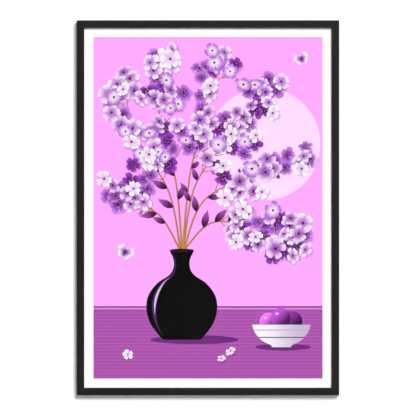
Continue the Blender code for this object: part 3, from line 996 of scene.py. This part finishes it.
def draw_bud(design, draw, spot, angle, size):
    root, tip, veins, _ = draw.choice(FLOWER_TINTS[:3])
    design.put(petal_outline(0, 0, 0, 14), root, tip, spot, *turned_axes(angle, size, size * 0.36), veins)
    calyx = turned_axes(angle, size * 0.42, size * 0.22)
    design.put(petal_outline(0, 0, 0, 10), BARK_BROWN, GOLDEN, spot, *calyx)


def draw_moth(design, spot, size, turn):
    """A small moth with four wings."""
    outline = petal_outline(0.04, 0.03, 1.0, 20)
    for angle, length, width, tint in WINGS:
        for way in (angle, math.pi - angle):
            axes = turned_axes(turn + way, size * length, size * width)
            design.put(outline, FLOWER_TINTS[tint][0], PORCELAIN, spot, *axes, 1.0)
    body = [spot + cmath.rect(t * size, turn + QUARTER) for t in (-0.35, 0.0, 0.4)]
    design.put(brush_stroke(body, size * 0.07, size * 0.09), PLUM)


def draw_vase(design):
    """A black bottle vase with a soft sheen and a narrow glint."""
    half = flowing(VASE_HALF, 6)
    design.put(ellipse(VASE_FOOT + 34, 118, 12, 40), TABLE_SHADE)
    design.put(turned_sides(VASE_FOOT, half), INK_BLACK)
    design.put(crescent(VASE_FOOT, half[6:56], 0.84, 0.16), VASE_SHEEN)
    design.put(crescent(VASE_FOOT, half[16:36], 0.78, 0.07), VASE_GLINT)
    design.put(ellipse(VASE_FOOT + 238j, 33, 5, 32), VASE_MOUTH)


def draw_bowl(design):
    """A white footed bowl with two violet bands and three plums."""
    design.put(ellipse(BOWL_FOOT + 4, 74, 9, 40), TABLE_SHADE)
    for spot, radius, colour in PLUMS:
        spot += BOWL_FOOT
        reach = 1.9 * radius
        axes = spot - (0.35-0.35j) * reach, (0.7-0.7j) * reach, (0.7+0.7j) * reach
        design.put(ellipse(0.5, 0.526, 0.526, 36), lightened(colour, 1.5), lightened(colour, 0.55), *axes)
        design.put(ellipse(spot - (0.36-0.42j) * radius, radius * 0.17, radius * 0.11, 14), PALE_PINK)
    half = flowing(BOWL_HALF, 8)
    width = 2 * BOWL_HALF[-1].real
    outline = [complex(p.real / width, p.imag) for p in turned_sides(width / 2, half)]
    design.put(outline, PORCELAIN, PORCELAIN_SHADE, BOWL_FOOT - width / 2, width)
    for low, high, ink in BOWL_BANDS:
        design.put(turned_sides(BOWL_FOOT, half[low:high]), ink)


def has_room(flowers, spot):
    in_width = abs(spot.real) < FIELD_HALF_WIDTH - FLOWER_MARGIN
    in_height = TABLE_TOP + FLOWER_LIFT < spot.imag < FIELD_HALF_HEIGHT - FLOWER_MARGIN
    return in_width and in_height and all(abs(spot - other) > FLOWER_ROOM for other in flowers)


def scatter(draw, flowers, around, reach):
    """Up to three flowers around a spot, where they have room."""
    for _ in range(3):
        spot = around + complex(draw.uniform(-reach, reach), draw.uniform(-reach, reach))
        if has_room(flowers, spot):
            flowers.append(spot)


def draw_branches(design, draw):
    """Branches fan out of the vase with shoots, leaves and buds, flowers crowding to their ends."""
    strokes, leaves, buds, flowers = [], [], [], []
    for points in BRANCHES:
        line = flowing(points, 12)
        last = len(line) - 1
        strokes.append((line, 5.2, 2.2))
        for i in (round(share * last) for share in LEAF_SHARES):
            side = draw.choice((-1, 1))
            leaves.append((line[i], heading(line, i) + side * draw.uniform(0.5, 0.9), draw.uniform(34, 50)))
        for i, side in ((round(share * last), side) for share in SHOOT_SHARES for side in (-1, 1)):
            angle = heading(line, i) + side * draw.uniform(0.5, 0.95)
            length = draw.uniform(30, 72)
            bend = side * draw.uniform(-0.4, 0.1)
            if draw.random() < 0.2:
                continue
            half_way = line[i] + cmath.rect(0.5 * length, angle)
            end = half_way + cmath.rect(0.5 * length, angle + bend)
            if not has_room([], end):
                continue
            strokes.append((flowing([line[i], half_way, end], 5), 2.6, 1.3))
            scatter(draw, flowers, end, 22)
            if has_room(flowers, end):
                flowers.append(end)
            if draw.random() < 0.4:
                buds.append((half_way, angle + side * 0.9, draw.uniform(13, 19)))
        for share in FLOWER_SHARES:
            scatter(draw, flowers, line[round(share * last)], 20)
    for line, *widths in strokes:
        design.put(brush_stroke(line, *widths), BARK_BROWN)
        design.put(brush_stroke(line, *(width * 0.5 for width in widths), 0.25), GOLDEN)
    for spot, angle, size in leaves:
        design.put(leaf_outline(), PLUM, VIOLET, spot, *turned_axes(angle, size, size * 0.2), 1.0)
    for bud in buds:
        draw_bud(design, draw, *bud)
    draw_flowers(design, draw, flowers)


def draw_flowers(design, draw, flowers):
    """Flowers in their tints, the darkest first so that the pale ones lie over them."""
    often = [tint[3] for tint in FLOWER_TINTS]
    tinted = [(draw.choices(range(len(FLOWER_TINTS)), weights=often)[0], spot) for spot in flowers]
    draw.shuffle(tinted)
    tinted.sort(key=lambda pair: pair[0] // 2)
    for tint, spot in tinted:
        draw_flower(design, draw, spot, draw.uniform(20, 28), FLOWER_TINTS[tint])


def draw_ground(design, half_width, half_height):
    """The paper, the pink field, a pale disc and the ruled table."""
    wide, high = FIELD_HALF_WIDTH, FIELD_HALF_HEIGHT
    design.put(rectangle(half_width, -half_height, half_height), PAPER_WHITE)
    design.put(rectangle(wide, -high, high), FIELD_PINK)
    design.put(ellipse(DISC_CENTRE, DISC_RADIUS, DISC_RADIUS, 96), PALE_PINK)
    design.put(rectangle(wide, -high, TABLE_TOP), VIOLET)
    design.put(rectangle(wide, TABLE_TOP - 9, TABLE_TOP - 6), ORCHID)
    line = TABLE_TOP - 2 * TABLE_LINE_PITCH
    while line > -high + 4:
        design.put(rectangle(wide, line - TABLE_LINE, line), SOFT_VIOLET)
        line -= TABLE_LINE_PITCH


def draw_design(half_width, half_height):
    draw = random.Random(DESIGN_SEED)
    design = Design()
    draw_ground(design, half_width, half_height)
    draw_branches(design, draw)
    draw_vase(design)
    draw_bowl(design)
    for spot, radius in LOOSE_FLOWERS:
        draw_flower(design, draw, spot, radius, FLOWER_TINTS[5])
    for moth in MOTHS:
        draw_moth(design, *moth)
    return design


# The printed sheet


def divide_sheet(design):
    """The sheet cut along every outline: points, triangles, and the shapes over each of them."""
    points, faces = [], []
    for shape in design:
        faces.append(list(range(len(points), len(points) + len(shape.points))))
        points += [Vector((p.real, p.imag)) for p in shape.points]
    found = delaunay_2d_cdt(points, [], faces, 1, CUT_NEAR)
    return found[0], found[2], found[5]


def inks_of(design, covering):
    """The uppermost inked shape over a triangle, and how much the shadows over that darken it."""
    top = max(i for i in covering if design[i].ink)
    shades = sum(1 for i in covering if i > top)
    return design[top], SHADE_SHARE ** min(shades, 2)


def make_print(paper):
    """A thin closed sheet whose front is divided along the printed shapes."""
    low, high, _, centre = box_of("printed_sheet")
    design = draw_design((high.x - low.x) / 2 / MM, (high.z - low.z) / 2 / MM)
    points, triangles, covering = divide_sheet(design)
    mesh = bpy.data.meshes.new("printed_design")
    mesh.from_pydata([(centre.x + x * MM, low.y, centre.z + z * MM) for x, z in points], [], triangles)
    mesh.attributes.new("triangle_number", "INT", "FACE").data.foreach_set("value", range(len(triangles)))
    sheet = new_object("printed_design", mesh)
    thicken_sheet(sheet, high.y - low.y)
    colour_sheet(mesh, design, covering, low, high)
    dress(sheet, paper, "frame", "printed_sheet")


def thicken_sheet(sheet, thickness):
    """Gives the printed face its edges and its back."""
    edit(sheet)
    ops.select_mode(type="EDGE")
    ops.select_non_manifold()
    ops.extrude_edges_move(TRANSFORM_OT_translate={"value": (0, thickness, 0)})
    ops.edge_face_add()
    pick_all()
    ops.normals_make_consistent(inside=False)
    rest()


def colour_sheet(mesh, design, covering, low, high):
    """Stores each corner's inks, its place in its own shape and its place on a flat map.

    The back and the edges are paper white, and lie in the corner of the map's white margin.
    """
    centre, tall = (low + high) / 2, high.z - low.z
    for name, kind in (("ink", "FLOAT_COLOR"), ("tip_ink", "FLOAT_COLOR"), ("shape_place", "FLOAT_VECTOR")):
        mesh.attributes.new(name, kind, "CORNER")
    mesh.uv_layers.new(name="OFBake")
    ink, tip, place, flat, number = (
        mesh.attributes[name].data for name in ("ink", "tip_ink", "shape_place", "OFBake", "triangle_number")
    )
    for face in mesh.polygons:
        front = face.normal.y < -FACING
        shape, shade = inks_of(design, covering[number[face.index].value] if front else [0])
        depth = shade if shape.ink == PAPER_WHITE else shade * INK_DENSITY
        root_ink, tip_ink = ((*[c * depth for c in srgb(colour)], 1.0) for colour in (shape.ink, shape.tip))
        share = 1.0 if front else 0.01
        for corner in face.loop_indices:
            spot = mesh.vertices[mesh.loops[corner].vertex_index].co
            ink[corner].color = root_ink
            tip[corner].color = tip_ink
            flat[corner].vector = ((spot.x - low.x) / tall * share, (spot.z - low.z) / tall * share)
            if front:
                place[corner].vector = shape.place_of(complex(spot.x - centre.x, spot.z - centre.z) / MM)
    mesh.attributes.remove(mesh.attributes["triangle_number"])


# What keeps its own mesh and gets only its finish


def finish_kept(zinc):
    kept = {"glazing": clear_acrylic(), "filler_board": corrugated_card(), "backing_board": hardboard()}
    kept |= {f"corner_wedge_{corner}": zinc[0] for corner in SIDE_TURNS}
    for node, material in kept.items():
        for slot in frame["nodes"][node].material_slots:
            slot.material = material


# Wall, floor, lamps and camera


def add_stage(foot):
    """The wall behind the frame and the floor that it stops at."""
    for name, size, material, spot, turn in (
        ("wall", (9, 5, 1), white_wall(), (0, 0, foot + 2.5), QUARTER),
        ("floor", (9, 12, 1), pale_floor(), (0, -1, foot), 0),
    ):
        plane = start(ops.primitive_plane_add, name, size, size=1, location=spot, rotation=(turn, 0, 0))
        rest()
        plane.data.materials.append(material)


def add_lamp(name, kind, power, way):
    """A lamp whose light comes from one way."""
    lamp = new_object(name, bpy.data.lights.new(name, kind))
    lamp.data.energy = power
    lamp.rotation_euler = way.to_track_quat("Z", "Y").to_euler()
    return lamp


def add_lamps(centre):
    """A broad lamp at the camera's upper right, and a soft one for the back."""
    flat = math.cos(KEY_UP)
    way = Vector((math.sin(KEY_RIGHT) * flat, -math.cos(KEY_RIGHT) * flat, math.sin(KEY_UP)))
    add_lamp("key_lamp", "SUN", KEY_STRENGTH, way).data.angle = KEY_SPREAD
    way = Vector(BACK_LAMP_SPOT)
    behind = add_lamp("back_lamp", "AREA", BACK_LAMP_POWER, way)
    behind.data.size = BACK_LAMP_SIZE
    behind.location = centre + way


def light_room():
    """Even light, darker behind the camera so that the clear sheet mirrors nothing bright."""
    world = bpy.data.worlds.new("room")
    world.use_nodes = True
    bpy.context.scene.world = world
    nodes = Nodes(world.node_tree)
    towards = nodes.add("TexCoord")["Generated"]
    facing = nodes.add("VectorMath", {0: towards, 1: (0.0, -1.0, 0.0)}, operation="DOT_PRODUCT")["Value"]
    dim = nodes.step(facing, math.cos(DIM_FROM), math.cos(DIM_TO), 1.0, DIM_SHARE)
    seen = nodes.add("LightPath")["Is Camera Ray"]
    light = nodes.times(dim, FILL_STRENGTH)
    strength = nodes.add("Mix", {0: seen, 2: light, 3: BACKDROP}, data_type="FLOAT")[0]
    background = world.node_tree.nodes["Background"].inputs
    nodes.feed(background, {"Strength": strength, "Color": (1.0, 1.0, 1.0, 1.0)})


def add_camera(centre):
    """A long lens straight on, from where the picture spans VIEW_WIDTH."""
    lens = bpy.data.cameras.new("camera")
    lens.lens = LENS
    lens.sensor_width = SENSOR
    camera = new_object("camera", lens)
    camera.location = (centre.x, cad_low[1] - VIEW_WIDTH * LENS / SENSOR, centre.z - AIM_LOW)
    camera.rotation_euler = (QUARTER, 0, 0)
    bpy.context.scene.camera = camera


def build_scene():
    bpy.context.scene.view_settings.view_transform = "Standard"
    centre = (Vector(cad_low) + Vector(cad_high)) / 2
    add_camera(centre)
    add_stage(cad_low[2] - FLOOR_DROP)
    add_lamps(centre)
    light_room()
    handling_effect()
    fibre_effect()
    grain_effect()
    nickel, zinc, brass = (plated_steel(*coat) for coat in (NICKEL, ZINC, BRASS))
    paint = black_satin_paint()
    for side in SIDE_TURNS:
        dress(make_rail(side), paint, "frame", f"rail_{side}")
    make_print(printed_paper())
    finish_kept(zinc)
    place_buttons(nickel, zinc)
    dress(make_hanger(), brass, "frame", "hanger")
    place_pair(make_nail, "flat_nail", "hanger_nail", brass)
    place_pair(make_bumper, "rubber_bumper", "bumper", black_rubber())


build_scene()
